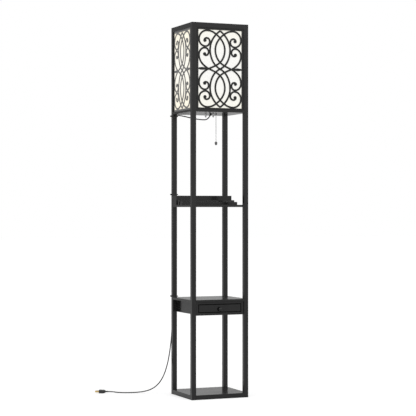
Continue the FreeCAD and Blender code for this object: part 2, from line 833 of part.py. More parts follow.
def hull(points):
    """The convex outline of flat points, as a closed list."""
    ordered = sorted((point.x, point.y) for point in points)
    outline = []
    for row in (ordered, ordered[::-1]):
        side = []
        for x, y in row:
            while len(side) > 1:
                (x0, y0), (x1, y1) = side[-2:]
                if (x1 - x0) * (y - y0) - (y1 - y0) * (x - x0) > 1e-9:
                    break
                side.pop()
            side.append((x, y))
        outline.extend(side[:-1])
    return [Vector(x, y, 0) for x, y in outline + outline[:1]]


def tie(z, cord_places, cord_slack):
    """A strap round the back left post and the cord behind it, with its head and tail."""
    half = post_size / 2
    around = [
        Vector(-post_x + x_sign * half, post_back_y + y_sign * half, 0)
        for x_sign in (-1, 1) for y_sign in (-1, 1)
    ]
    reach = cord_radius + cord_slack
    for k in range(tie_cord_sides):
        angle = 2 * math.pi * k / tie_cord_sides
        spoke = Vector(math.cos(angle), math.sin(angle), 0) * reach
        around.extend(place + spoke for place in cord_places)
    outline = Part.Wire(Part.makePolygon(hull(around)))
    outer = Part.Face(outline.makeOffset2D(tie_thickness))
    strap = outer.cut(Part.Face(outline)).extrude(Vector(0, 0, tie_width))
    strap.translate(Vector(0, 0, z - tie_width / 2))
    head = box(
        -half_width - tie_head_reach, -half_width - tie_thickness / 2,
        back_y - tie_head, back_y, z - tie_width / 2, z + tie_width / 2
    )
    tail = box(
        -inner_x, -inner_x + tie_tail, inner_back_y - tie_thickness, inner_back_y - tie_tail_gap,
        z - tie_tail_width / 2, z + tie_tail_width / 2
    )
    return strap.fuse([eased(head, Vector(0, 0, 1)), tail]).removeSplitter()


def make_ties():
    run = [Vector(-122.0, mid_y + 121.0, 0)]
    bend = [Vector(-103.0, mid_y + 121.4, 0), Vector(-114.0, mid_y + 121.3, 0)]
    nodes["cord_ties"] = Part.makeCompound([
        tie(shade_bottom - tie_below_shade, bend, tie_bend_slack),
        tie(middle_shelf_top + bin_height + tie_lift, run, tie_cord_slack),
        tie(drawer_shelf_top + tie_lift, run, tie_cord_slack),
    ])


def make_plug(before, start):
    """A two-blade plug lying on the floor, its blades pointing away along the cord."""
    relief = Part.makeCone(cord_radius + 0.6, plug_relief_radius, plug_relief_length,
                           Vector(0, 0, 0), Vector(1, 0, 0))
    half_w, half_h = plug_width / 2, plug_height / 2
    body_x = plug_relief_length
    body = box(body_x - 2, body_x + plug_length - 2, -half_w, half_w, -half_h, half_h)
    body = eased(body, Vector(1, 0, 0), half_h * 0.55)
    grip = [edge for edge in body.Edges if edge.BoundBox.XMax < body_x - 1.9]
    body = body.makeChamfer(half_h * 0.3, grip)
    root = body_x + plug_length - 2 - blade_root
    blades = []
    for side in (-1, 1):
        y = side * blade_spacing / 2
        blade = box(root, root + blade_root + blade_length, y - blade_thickness / 2,
                    y + blade_thickness / 2, -blade_height / 2, blade_height / 2)
        blades.append(blade)
    body = body.fuse(relief).removeSplitter().cut(blades)
    direction = start - before
    angle = math.degrees(math.atan2(direction.y, direction.x))
    for shape in [body] + blades:
        shape.rotate(Vector(0, 0, 0), Vector(0, 0, 1), angle)
        shape.translate(start)
    nodes["plug_body"] = body
    nodes["plug_blades"] = Part.makeCompound(blades)


make_posts()
make_shelves()
make_case()
make_drawer()
make_organiser()
make_top_rails()
make_shade()
make_lampholder()
make_cord()

os.makedirs("parts", exist_ok=True)
for name, shape in nodes.items():
    print(name, "solids", len(shape.Solids), "valid", shape.isValid())
    shape.exportStep("parts/" + name + ".step")
print("nodes", len(nodes))
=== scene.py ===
import json
import math
import bpy
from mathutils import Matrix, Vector


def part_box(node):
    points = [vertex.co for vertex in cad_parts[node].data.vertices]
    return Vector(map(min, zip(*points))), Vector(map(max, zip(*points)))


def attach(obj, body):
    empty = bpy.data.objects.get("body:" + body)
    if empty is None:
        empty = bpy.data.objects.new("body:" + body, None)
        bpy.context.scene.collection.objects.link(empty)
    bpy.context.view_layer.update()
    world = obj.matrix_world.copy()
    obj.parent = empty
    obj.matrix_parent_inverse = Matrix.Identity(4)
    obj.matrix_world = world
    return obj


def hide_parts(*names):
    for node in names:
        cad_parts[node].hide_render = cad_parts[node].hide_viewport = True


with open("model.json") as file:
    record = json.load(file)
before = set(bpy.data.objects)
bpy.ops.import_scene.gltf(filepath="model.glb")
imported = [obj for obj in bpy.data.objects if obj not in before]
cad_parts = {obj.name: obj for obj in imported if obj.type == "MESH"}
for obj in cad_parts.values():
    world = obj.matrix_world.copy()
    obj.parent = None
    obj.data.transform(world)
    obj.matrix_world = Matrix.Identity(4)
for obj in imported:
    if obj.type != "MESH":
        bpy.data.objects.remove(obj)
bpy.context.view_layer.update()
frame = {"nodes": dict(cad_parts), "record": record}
nodes = frame["nodes"]

axisY = 0.00425         # the posts' middle, behind the frame's own origin
weldGap = 0.00001       # corners of a solid nearer than this are one


def clearSelection():
    if bpy.context.object and bpy.context.object.mode != "OBJECT":
        bpy.ops.object.mode_set(mode="OBJECT")
    bpy.ops.object.select_all(action="DESELECT")


def choose(piece):
    clearSelection()
    piece.select_set(True)
    bpy.context.view_layer.objects.active = piece


def applyPlace(piece):
    choose(piece)
    bpy.ops.object.transform_apply(location=True, rotation=True, scale=True)


def settle(piece, body, slotName, material, *replaced):
    # place goes into the mesh, then the piece rides, takes its slot and hides its CAD nodes
    applyPlace(piece)
    piece.data.materials.clear()
    piece.data.materials.append(material)
    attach(piece, body)
    if replaced:
        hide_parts(*replaced)
    return piece


# camera

cameraSet = {
    "turn": 23.0626,        # degrees to the left of the lamp's front
    "distance": 6.26294,    # from the lamp's own axis
    "height": 0.80761,
    "focal": 1453.37,       # in pixels of the 416 px frame
    "frame": 416,
    "sensor": 36.0,
    "centre": (209.45, 208.07),   # where the camera's own axis meets the frame, in pixels
    "reach": 100.0,         # how far it sees
}


def addCamera(s):
    turn = math.radians(s["turn"])
    data = bpy.data.cameras.new("photoCamera")
    camera = bpy.data.objects.new("photoCamera", data)
    bpy.context.scene.collection.objects.link(camera)
    camera.location = (
        -s["distance"] * math.sin(turn),
        axisY - s["distance"] * math.cos(turn),
        s["height"],
    )
    camera.rotation_euler = (math.radians(90), 0, -turn)
    data.sensor_width = s["sensor"]
    data.lens = s["sensor"] * s["focal"] / s["frame"]
    middle = s["frame"] / 2
    data.shift_x = (middle - s["centre"][0]) / s["frame"]
    data.shift_y = (s["centre"][1] - middle) / s["frame"]
    data.clip_end = s["reach"]
    bpy.context.scene.camera = camera


addCamera(cameraSet)
print("camera set")


# shader helpers

def newMaterial(name):
    material = bpy.data.materials.new(name)
    material.use_nodes = True
    tree = material.node_tree
    tree.nodes.clear()
    output = tree.nodes.new("ShaderNodeOutputMaterial")
    shader = tree.nodes.new("ShaderNodeBsdfPrincipled")
    tree.links.new(shader.outputs["BSDF"], output.inputs["Surface"])
    return material, tree, shader


def node(tree, kind, values=None, **settings):
    made = tree.nodes.new(kind)
    for name, value in settings.items():
        setattr(made, name, value)
    for name, value in (values or {}).items():
        made.inputs[name].default_value = value
    return made


def newGroup(name, inputs, outputs):
    group = bpy.data.node_groups.new(name, "ShaderNodeTree")
    for label, kind, value in inputs:
        socket = group.interface.new_socket(name=label, in_out="INPUT", socket_type=kind)
        socket.default_value = value
    for label, kind in outputs:
        group.interface.new_socket(name=label, in_out="OUTPUT", socket_type=kind)
    return group, group.nodes.new("NodeGroupInput"), group.nodes.new("NodeGroupOutput")


def place(tree, group, values=None):
    made = tree.nodes.new("ShaderNodeGroup")
    made.node_tree = group
    for name, value in (values or {}).items():
        made.inputs[name].default_value = value
    return made


def objectPoint(tree):
    return tree.nodes.new("ShaderNodeTexCoord").outputs["Object"]


def makeMottle():
    # two tones and a roughness that drift over the surface, with a fine relief
    group, given, result = newGroup(
        "mottle",
        [
            ("Dark", "NodeSocketColor", (0.01, 0.01, 0.01, 1)),
            ("Light", "NodeSocketColor", (0.02, 0.02, 0.02, 1)),
            ("Smooth", "NodeSocketFloat", 0.2),
            ("Rough", "NodeSocketFloat", 0.3),
            ("Drift", "NodeSocketFloat", 9.0),
            ("Grain", "NodeSocketFloat", 700.0),
            ("Relief", "NodeSocketFloat", 0.1),
            ("Depth", "NodeSocketFloat", 0.0002),
        ],
        [("Color", "NodeSocketColor"), ("Roughness", "NodeSocketFloat"),
         ("Normal", "NodeSocketVector")],
    )
    link = group.links.new
    point = objectPoint(group)
    drift = node(group, "ShaderNodeTexNoise", {"Detail": 4.0, "Roughness": 0.6})
    link(point, drift.inputs["Vector"])
    link(given.outputs["Drift"], drift.inputs["Scale"])
    grain = node(group, "ShaderNodeTexNoise", {"Detail": 3.0, "Roughness": 0.55})
    link(point, grain.inputs["Vector"])
    link(given.outputs["Grain"], grain.inputs["Scale"])
    tone = node(group, "ShaderNodeMix", data_type="RGBA")
    link(drift.outputs["Fac"], tone.inputs["Factor"])
    link(given.outputs["Dark"], tone.inputs["A"])
    link(given.outputs["Light"], tone.inputs["B"])
    blend = node(group, "ShaderNodeMath", operation="ADD")
    half = node(group, "ShaderNodeMath", {1: 0.5}, operation="MULTIPLY")
    link(grain.outputs["Fac"], half.inputs[0])
    halfDrift = node(group, "ShaderNodeMath", {1: 0.5}, operation="MULTIPLY")
    link(drift.outputs["Fac"], halfDrift.inputs[0])
    link(half.outputs[0], blend.inputs[0])
    link(halfDrift.outputs[0], blend.inputs[1])
    rough = node(group, "ShaderNodeMapRange", {"From Min": 0.35, "From Max": 0.65})
    link(blend.outputs[0], rough.inputs["Value"])
    link(given.outputs["Smooth"], rough.inputs["To Min"])
    link(given.outputs["Rough"], rough.inputs["To Max"])
    bump = node(group, "ShaderNodeBump")
    link(given.outputs["Relief"], bump.inputs["Strength"])
    link(given.outputs["Depth"], bump.inputs["Distance"])
    link(grain.outputs["Fac"], bump.inputs["Height"])
    link(tone.outputs["Result"], result.inputs["Color"])
    link(rough.outputs["Result"], result.inputs["Roughness"])
    link(bump.outputs["Normal"], result.inputs["Normal"])
    return group


mottle = makeMottle()


def mottled(name, settings, shaderValues=None):
    material, tree, shader = newMaterial(name)
    surface = place(tree, mottle, settings)
    for output, socket in (("Color", "Base Color"), ("Roughness", "Roughness"),
                           ("Normal", "Normal")):
        tree.links.new(surface.outputs[output], shader.inputs[socket])
    for socket, value in (shaderValues or {}).items():
        shader.inputs[socket].default_value = value
    return material


def grey(value):
    return (value, value, value, 1)


lacquer = mottled(
    "blackLacquer",
    {"Dark": grey(0.0065), "Light": grey(0.012), "Smooth": 0.14, "Rough": 0.23,
     "Drift": 7.0, "Grain": 650.0, "Relief": 0.12, "Depth": 0.00015},
    {"IOR": 1.42},
)
# the fretwork's black paint; a painted sheen is mixed into its colour further down
fretPaintAndSheen = mottled(
    "fretPaintAndSheen",
    {"Dark": grey(0.004), "Light": grey(0.008), "Smooth": 0.30, "Rough": 0.42,
     "Drift": 12.0, "Grain": 900.0, "Relief": 0.15, "Depth": 0.00015},
    {"IOR": 1.38},
)


# painted sheen: the fretwork's colour is made paler where it is seen at a slant, a painted
# reflection that follows the view, so it shifts in other views and doesn't belong to the surface;
# the hindmost stiles are left out and stay dark, as painted shade in the recess by the back posts
paintedSheenSet = {
    # the pale grey of the painted sheen
    "colour": grey(0.19),
    "facing": (0.25, 0.65),     # where the painted sheen starts, and where it is full
    "stiles": (0.090, 0.093),   # along Y, where the painted sheen ends, leaving the hindmost stiles dark as painted shade
}


def paintedSlantSheen(material, s):
    tree = material.node_tree
    shader = next(n for n in tree.nodes if n.type == "BSDF_PRINCIPLED")
    # base colour mixed towards pale grey by how slanted the view is: painted sheen, cut off at
    # the hindmost stiles, which keep the dark of painted shade
    slant = tree.nodes.new("ShaderNodeLayerWeight")
    start, full = s["facing"]
    sheenAmount = node(tree, "ShaderNodeMapRange", {"From Min": start, "From Max": full})
    tree.links.new(slant.outputs["Facing"], sheenAmount.inputs["Value"])
    split = tree.nodes.new("ShaderNodeSeparateXYZ")
    tree.links.new(objectPoint(tree), split.inputs[0])
    full, end = s["stiles"]
    ahead = node(tree, "ShaderNodeMapRange",
                 {"From Min": full, "From Max": end, "To Min": 1.0, "To Max": 0.0})
    tree.links.new(split.outputs["Y"], ahead.inputs["Value"])
    share = node(tree, "ShaderNodeMath", operation="MULTIPLY")
    tree.links.new(sheenAmount.outputs["Result"], share.inputs[0])
    tree.links.new(ahead.outputs["Result"], share.inputs[1])
    tone = node(tree, "ShaderNodeMix", {"B": s["colour"]}, data_type="RGBA")
    tree.links.new(share.outputs[0], tone.inputs["Factor"])
    tree.links.new(shader.inputs["Base Color"].links[0].from_socket, tone.inputs["A"])
    tree.links.new(tone.outputs["Result"], shader.inputs["Base Color"])


# painted sheen and painted recess shade on the fretwork's paint
paintedSlantSheen(fretPaintAndSheen, paintedSheenSet)
holderPlastic = mottled(
    "holderPlastic",
    {"Dark": grey(0.020), "Light": grey(0.032), "Smooth": 0.42, "Rough": 0.55,
     "Drift": 40.0, "Grain": 1500.0, "Relief": 0.2, "Depth": 0.0001},
)
nylon = mottled(
    "blackNylon",
    {"Dark": grey(0.006), "Light": grey(0.011), "Smooth": 0.38, "Rough": 0.52,
     "Drift": 60.0, "Grain": 2000.0, "Relief": 0.15, "Depth": 0.0001},
)
sheath = mottled(
    "cordSheath",
    {"Dark": grey(0.022), "Light": grey(0.034), "Smooth": 0.34, "Rough": 0.48,
     "Drift": 25.0, "Grain": 1600.0, "Relief": 0.2, "Depth": 0.0001},
)
zinc = mottled(
    "zincSteel",
    {"Dark": grey(0.58), "Light": grey(0.70), "Smooth": 0.28, "Rough": 0.45,
     "Drift": 90.0, "Grain": 2500.0, "Relief": 0.1, "Depth": 0.0001},
    {"Metallic": 1.0},
)
nickel = mottled(
    "nickelBeads",
    {"Dark": grey(0.28), "Light": grey(0.38), "Smooth": 0.12, "Rough": 0.22,
     "Drift": 120.0, "Grain": 3000.0, "Relief": 0.05, "Depth": 0.00005},
    {"Metallic": 1.0},
)
darkMetal = mottled(
    "pendantMetal",
    {"Dark": grey(0.10), "Light": grey(0.14), "Smooth": 0.2, "Rough": 0.34,
     "Drift": 90.0, "Grain": 2000.0, "Relief": 0.1, "Depth": 0.0001},
)
brass = mottled(
    "brass",
    {"Dark": (0.55, 0.38, 0.14, 1), "Light": (0.74, 0.55, 0.24, 1), "Smooth": 0.22,
     "Rough": 0.36, "Drift": 80.0, "Grain": 2500.0, "Relief": 0.08, "Depth": 0.0001},
    {"Metallic": 1.0},
)
beech = mottled(
    "beechDowel",
    {"Dark": (0.36, 0.23, 0.12, 1), "Light": (0.52, 0.36, 0.2, 1), "Smooth": 0.5,
     "Rough": 0.7, "Drift": 120.0, "Grain": 1800.0, "Relief": 0.3, "Depth": 0.0002},
)
capMetal = mottled(
    "bulbCap",
    {"Dark": grey(0.5), "Light": grey(0.66), "Smooth": 0.2, "Rough": 0.34,
     "Drift": 90.0, "Grain": 2500.0, "Relief": 0.1, "Depth": 0.0001},
    {"Metallic": 1.0},
)
frosted = mottled(
    "frostedBulb",
    {"Dark": (0.82, 0.81, 0.78, 1), "Light": (0.9, 0.89, 0.86, 1), "Smooth": 0.3,
     "Rough": 0.42, "Drift": 30.0, "Grain": 1500.0, "Relief": 0.05, "Depth": 0.0001},
    {"Emission Color": (1.0, 0.95, 0.86, 1), "Emission Strength": 0.45},
)


clothLook = {
    "colour": (0.52, 0.515, 0.50, 1),
    "rough": 0.85,
    "weave": {"Scale": 380.0, "Distortion": 0.6},
    "relief": {"Strength": 0.15, "Distance": 0.0002},
    "middle": (0.0, axisY, 1.3965),     # of the shade
    "fade": (0.12, 0.215),      # how far from there the glow starts and ends to change
    # the glow's tone near the middle and far from it, and its strength
    "frontGlow": ((0.76, 0.757, 0.74, 1), (0.78, 0.765, 0.64, 1)),
    "sideGlow": ((1.09, 1.05, 0.92, 1), (1.12, 1.01, 0.74, 1)),
    "glow": 0.53,
}


def makeCloth(s):
    # white shade cloth: a plain weave, and the lamp's glow, whiter in the middle of each side
    material, tree, shader = newMaterial("shadeCloth")
    link = tree.links.new
    split = tree.nodes.new("ShaderNodeSeparateXYZ")
    link(objectPoint(tree), split.inputs[0])
    across = node(tree, "ShaderNodeMath", operation="ADD")
    link(split.outputs["X"], across.inputs[0])
    link(split.outputs["Y"], across.inputs[1])
    flat = tree.nodes.new("ShaderNodeCombineXYZ")
    link(across.outputs[0], flat.inputs["X"])
    link(split.outputs["Z"], flat.inputs["Y"])
    warp = node(tree, "ShaderNodeTexWave", s["weave"], wave_type="BANDS", bands_direction="X")
    weft = node(tree, "ShaderNodeTexWave", s["weave"], wave_type="BANDS", bands_direction="Y")
    link(flat.outputs[0], warp.inputs["Vector"])
    link(flat.outputs[0], weft.inputs["Vector"])
    weave = node(tree, "ShaderNodeMath", operation="MULTIPLY")
    link(warp.outputs["Fac"], weave.inputs[0])
    link(weft.outputs["Fac"], weave.inputs[1])
    bump = node(tree, "ShaderNodeBump", s["relief"])
    link(weave.outputs[0], bump.inputs["Height"])
    link(bump.outputs["Normal"], shader.inputs["Normal"])
    # how far a point is from the middle of the shade
    away = node(tree, "ShaderNodeVectorMath", {1: s["middle"]}, operation="DISTANCE")
    link(objectPoint(tree), away.inputs[0])
    near, far = s["fade"]
    fade = node(tree, "ShaderNodeMapRange", {"From Min": near, "From Max": far},
                interpolation_type="SMOOTHSTEP")
    link(away.outputs["Value"], fade.inputs["Value"])
    # the side sheets glow warmer than the front and back ones
    geometry = tree.nodes.new("ShaderNodeNewGeometry")
    facing = tree.nodes.new("ShaderNodeSeparateXYZ")
    link(geometry.outputs["True Normal"], facing.inputs[0])
    side = node(tree, "ShaderNodeMath", operation="ABSOLUTE")
    link(facing.outputs["X"], side.inputs[0])
    glows = []
    for middle, end in (s["frontGlow"], s["sideGlow"]):
        tone = node(tree, "ShaderNodeMix", {"A": middle, "B": end}, data_type="RGBA")
        link(fade.outputs["Result"], tone.inputs["Factor"])
        glows.append(tone.outputs["Result"])
    glow = node(tree, "ShaderNodeMix", data_type="RGBA")
    link(side.outputs[0], glow.inputs["Factor"])
    link(glows[0], glow.inputs["A"])
    link(glows[1], glow.inputs["B"])
    link(glow.outputs["Result"], shader.inputs["Emission Color"])
    shader.inputs["Emission Strength"].default_value = s["glow"]
    shader.inputs["Base Color"].default_value = s["colour"]
    shader.inputs["Roughness"].default_value = s["rough"]
    return material


shadeCloth = makeCloth(clothLook)

# finishes of the nodes that stay as the frame gives them, by the record's slots
finishes = {
    "black_lacquer": lacquer,
    "fretwork": fretPaintAndSheen,
    "lining_sheet": shadeCloth,
    "steel": zinc,
    "dowel_beech": beech,
    "holder_plastic": holderPlastic,
    "brass": brass,
    "bulb_cap": capMetal,
    "bulb_glass": frosted,
    "bead_chain": nickel,
    "pendant_metal": darkMetal,
    "cord_black": sheath,
    "black_nylon": nylon,
}
for entry in frame["record"]["subparts"]:
    mesh = nodes[entry["node"]].data
    mesh.materials.clear()
    mesh.materials.append(finishes[entry["material_slot"]])
print("finishes given")


# eased edges of boards, posts, bars and lampholder

easeSet = {
    "flat": 0.5,        # degrees, under which neighbouring faces become one
    "width": 0.0008, "segments": 2, "angle": 40.0,
}


def addWeld(piece):
    weld = piece.modifiers.new("weld", "WELD")
    weld.merge_threshold = weldGap


def easeEdges(piece, s):
    addWeld(piece)
    flat = piece.modifiers.new("flat", "DECIMATE")
    flat.decimate_type = "DISSOLVE"
    flat.angle_limit = math.radians(s["flat"])
    edge = piece.modifiers.new("edges", "BEVEL")
    edge.width = s["width"]
    edge.segments = s["segments"]
    edge.limit_method = "ANGLE"
    edge.angle_limit = math.radians(s["angle"])


for entry in frame["record"]["subparts"]:
    sharp = entry["material_slot"] in ("black_lacquer", "holder_plastic")
    if sharp and entry["node"] != "drawer_knob":
        easeEdges(nodes[entry["node"]], easeSet)
print("edges eased")


# paint over the front and back fretwork

paintSet = {"thickness": 0.0003}


def addPaint(piece, s):
    addWeld(piece)
    coat = piece.modifiers.new("paint", "DISPLACE")
    coat.mid_level = 0.0
    coat.strength = s["thickness"]


for side in ("front", "back"):
    addPaint(nodes["grille_" + side], paintSet)
print("fretwork painted")


# shade cloth

clothSet = {"thickness": 0.0005, "cuts": 24}


def addLining(side, s):
    low, high = (Vector(corner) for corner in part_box("lining_" + side))
    middle = (low + high) / 2
    facesX = side in ("left", "right")
    width = (high.y - low.y) if facesX else (high.x - low.x)
    rise = high.z - low.z
    clearSelection()
    bpy.ops.mesh.primitive_grid_add(
        x_subdivisions=s["cuts"], y_subdivisions=s["cuts"], size=1, location=middle,
        rotation=(math.radians(90), 0, math.radians(90) if facesX else 0),
    )
    sheet = bpy.context.object
    sheet.name = "cloth" + side.capitalize()
    sheet.scale = (width, rise, 1)
    bpy.ops.object.transform_apply(location=False, rotation=False, scale=True)
    solid = sheet.modifiers.new("thickness", "SOLIDIFY")
    solid.thickness = s["thickness"]
    solid.offset = 0
    bpy.ops.object.modifier_apply(modifier=solid.name)
    settle(sheet, "root", "lining_sheet", shadeCloth, "lining_" + side)


for side in ("front", "back", "left", "right"):
    addLining(side, clothSet)
print("shade cloth stretched")


# cord, along the route of its solid

cordSet = {"radius": 0.0024, "stiffness": "medium", "aroundSteps": 6, "alongSteps": 8,
           "order": 3}
# measured from the posts' middle
cordRoute = (
    (0.0054, 0.0104, 1.2045),
    (0.0028, 0.0142, 1.1979),
    (-0.0012, 0.0198, 1.1928),
    (-0.0059, 0.0263, 1.1899),
    (-0.0118, 0.0346, 1.1895),
    (-0.0214, 0.0480, 1.1909),
    (-0.0369, 0.0698, 1.1950),
    (-0.0547, 0.0952, 1.2016),
    (-0.0650, 0.1100, 1.2059),
    (-0.0735, 0.1169, 1.2082),
    (-0.0836, 0.1206, 1.2102),
    (-0.0952, 0.1214, 1.2114),
    (-0.1049, 0.1215, 1.2095),
    (-0.1130, 0.1214, 1.2044),
    (-0.1188, 0.1212, 1.1969),
    (-0.1219, 0.1210, 1.1875),
    (-0.1220, 0.1210, 0.4180),
    (-0.1226, 0.1212, 0.3620),
    (-0.1240, 0.1218, 0.3080),
    (-0.1264, 0.1233, 0.2580),
    (-0.1300, 0.1258, 0.2120),
    (-0.1356, 0.1286, 0.1680),
    (-0.1435, 0.1325, 0.1240),
    (-0.1555, 0.1384, 0.0820),
    (-0.1730, 0.1470, 0.0470),
    (-0.1980, 0.1594, 0.0220),
    (-0.2290, 0.1748, 0.0090),
    (-0.2630, 0.1918, 0.0043),
    (-0.2990, 0.2096, 0.0025),
    (-0.3280, 0.2240, 0.0029),
    (-0.3470, 0.2334, 0.0046),
    (-0.3610, 0.2403, 0.0068),
    (-0.3750, 0.2472, 0.0070),
)


def addCord(s, route):
    curve = bpy.data.curves.new("mainsCord", "CURVE")
    curve.dimensions = "3D"
    curve.bevel_depth = s["radius"]
    curve.bevel_resolution = s["aroundSteps"]
    curve.resolution_u = s["alongSteps"]
    curve.use_fill_caps = True
    spline = curve.splines.new("NURBS")
    spline.points.add(len(route) - 1)
    for point, (x, y, z) in zip(spline.points, route):
        point.co = (x, y + axisY, z, 1)
    spline.order_u = s["order"]
    spline.use_endpoint_u = True
    cord = bpy.data.objects.new("mainsCord", curve)
    bpy.context.scene.collection.objects.link(cord)
    curve.materials.append(sheath)
    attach(cord, "root")
    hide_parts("cord")
    return cord


mainsCord = addCord(cordSet, cordRoute)


# turned pieces

def lathe(name, steps, segments=48, smoothAngle=35):
    # a piece turned on the Z axis: a disc drawn up and resized through (radius, height) steps
    clearSelection()
    radius, height = steps[0]
    bpy.ops.mesh.primitive_circle_add(vertices=segments, radius=radius, fill_type="NGON")
    piece = bpy.context.object
    piece.name = name
    bpy.ops.object.mode_set(mode="EDIT")
    bpy.ops.mesh.select_all(action="SELECT")
    bpy.ops.transform.translate(value=(0, 0, height))
    for nextRadius, nextHeight in steps[1:]:
        bpy.ops.mesh.extrude_region_move(
            TRANSFORM_OT_translate={"value": (0, 0, nextHeight - height)})
        scale = nextRadius / radius
        bpy.ops.transform.resize(value=(scale, scale, 1), center_override=(0, 0, nextHeight))
        radius, height = nextRadius, nextHeight
    bpy.ops.mesh.select_all(action="SELECT")
    bpy.ops.mesh.normals_make_consistent(inside=False)
    bpy.ops.object.mode_set(mode="OBJECT")
    bpy.ops.object.shade_smooth_by_angle(angle=math.radians(smoothAngle))
    return piece


def rounded(radius, height, outRadius, outHeight, steps):
    # points of a quarter ellipse that leaves (radius, height) upwards and ends level
    points = []
    for k in range(1, steps + 1):
        angle = math.radians(90) * k / steps
        points.append((
            radius + (outRadius - radius) * (1 - math.cos(angle)),
            height + (outHeight - height) * math.sin(angle),
        ))
    return points


def joined(name, pieces):
    choose(pieces[0])
    for piece in pieces:
        piece.select_set(True)
    bpy.ops.object.join()
    pieces[0].name = name
    return pieces[0]


def aimed(piece, spot, direction):
    # the piece's own Z axis turned to a direction, its origin put at a spot
    piece.rotation_euler = Vector(direction).to_track_quat("Z", "Y").to_euler()
    piece.location = spot
    return piece


# drawer knob

knobSet = {
    "neckRadius": 0.0052, "neckLength": 0.004, "coveRadius": 0.0066,
    "foot": 1.12, "footHeight": 0.0006,     # the neck's flare, as a share of its radius
    "neckEnd": 0.55, "coveEnd": 0.85,       # shares of the neck's length
    # the head: shares of its radius with metres past the neck, then shares of radius and length
    "back": ((0.80, 0.0), (0.93, 0.0008), (1.0, 0.0035)),
    "crown": (0.45, 0.99), "crownRings": 9, "face": 0.2, "middle": 0.0002,
}


def addKnob(s):
    low, high = (Vector(corner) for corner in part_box("drawer_knob"))
    middle = (low + high) / 2
    radius = (high.x - low.x) / 2
    length = high.y - low.y
    head = s["neckLength"]
    steps = [(s["neckRadius"] * s["foot"], 0), (s["neckRadius"], s["footHeight"]),
             (s["neckRadius"], head * s["neckEnd"]), (s["coveRadius"], head * s["coveEnd"])]
    steps += [(radius * wide, head + rise) for wide, rise in s["back"]]
    wide, up = s["crown"]
    steps += rounded(*steps[-1], radius * wide, length * up, s["crownRings"])
    steps += [(radius * s["face"], length), (s["middle"], length)]
    knob = aimed(lathe("drawerKnob", steps), (middle.x, high.y, middle.z), (0, -1, 0))
    settle(knob, "drawer", "black_lacquer", lacquer, "drawer_knob")


addKnob(knobSet)
print("knob turned")


# bead chain and pendant

chainSet = {"pitch": 0.004, "link": 0.0005, "bead": 0.00155, "rings": 6, "segments": 16}
pendantSet = {
    # radius and height up from the foot, as shares of the pendant's own
    "profile": ((0.50, 0.0), (0.60, 0.02), (0.72, 0.10), (0.84, 0.22), (0.94, 0.36), (0.98, 0.50),
                (0.92, 0.53), (0.92, 0.56), (1.0, 0.60), (1.0, 0.68), (0.94, 0.76), (0.80, 0.81),
                (0.55, 0.85), (0.40, 0.90), (0.36, 0.96), (0.28, 1.0)),
}


def addChain(s):
    low, high = (Vector(corner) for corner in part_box("pull_chain"))
    middle = (low + high) / 2
    steps = [(s["link"], 0)]
    for k in range(1, s["rings"] * 2):
        angle = math.radians(180) * k / (s["rings"] * 2)
        steps.append((
            max(s["link"], s["bead"] * math.sin(angle)),
            s["pitch"] / 2 - s["bead"] * math.cos(angle),
        ))
    steps.append((s["link"], s["pitch"]))
    bead = lathe("beadChain", steps, segments=s["segments"], smoothAngle=60)
    row = bead.modifiers.new("row", "ARRAY")
    row.count = int((high.z - low.z) / s["pitch"])
    row.use_relative_offset = False
    row.use_constant_offset = True
    row.constant_offset_displace = (0, 0, s["pitch"])
    bpy.ops.object.modifier_apply(modifier=row.name)
    bead.location = (middle.x, middle.y, low.z)
    settle(bead, "chain", "bead_chain", nickel, "pull_chain")


def addPendant(s):
    low, high = (Vector(corner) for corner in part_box("chain_pendant"))
    middle = (low + high) / 2
    radius = (high.x - low.x) / 2
    tall = high.z - low.z
    steps = [(radius * wide, tall * up) for wide, up in s["profile"]]
    pendant = lathe("chainPendant", steps, segments=40)
    pendant.location = (middle.x, middle.y, low.z)
    settle(pendant, "chain", "pendant_metal", darkMetal, "chain_pendant")


addChain(chainSet)
addPendant(pendantSet)
print("pull chain strung")


# bulb

bulbSet = {
    "neckRadius": 0.0134, "rim": 0.9, "rimHeight": 0.0005,
    "shoulder": 0.55,       # how far below the globe's middle the neck meets it, by its radius
    "neckRings": 12, "globeRings": 20, "top": 0.0004,
}
capSet = {
    # (radius, height) of the contact, then (distance inside the radius, height) of the skirt
    "contact": ((0.0022, 0), (0.0035, 0.0004)),
    "skirt": ((0.003, 0.0016), (0.0012, 0.0036)),
    "threads": 5, "threadDepth": 0.0008, "threadStart": 0.0050, "threadSpare": 0.0090,
    "threadShares": (0.30, 0.50, 0.80),
    # (distance inside the radius, distance below the top) of the rolled rim
    "rim": ((0.0008, 0.0022), (0.0, 0.0012), (0.0003, 0.0)),
}


def addBulb(s):
    low, high = (Vector(corner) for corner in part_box("bulb_glass"))
    middle = (low + high) / 2
    radius = (high.x - low.x) / 2
    globe = high.z - low.z - radius
    joint = globe - s["shoulder"] * radius
    shoulderRadius = radius * math.sqrt(1 - s["shoulder"] ** 2)
    steps = [(s["neckRadius"] * s["rim"], 0), (s["neckRadius"], s["rimHeight"])]
    # the neck leaves straight up and runs into the globe's circle without a corner
    first = -math.asin(s["shoulder"])
    flare = joint * math.tan(-first)
    for k in range(1, s["neckRings"]):
        share = k / s["neckRings"]
        steps.append((
            s["neckRadius"] + (shoulderRadius - s["neckRadius"]) * share ** 2 * (3 - 2 * share)
            - flare * share ** 2 * (1 - share),
            joint * share,
        ))
    for k in range(s["globeRings"]):
        angle = first + (math.radians(90) - first) * k / s["globeRings"]
        steps.append((radius * math.cos(angle), globe + radius * math.sin(angle)))
    steps.append((s["top"], globe + radius))
    bulb = lathe("bulbGlobe", steps, segments=64)
    bulb.location = (middle.x, middle.y, low.z)
    settle(bulb, "root", "bulb_glass", frosted, "bulb_glass")


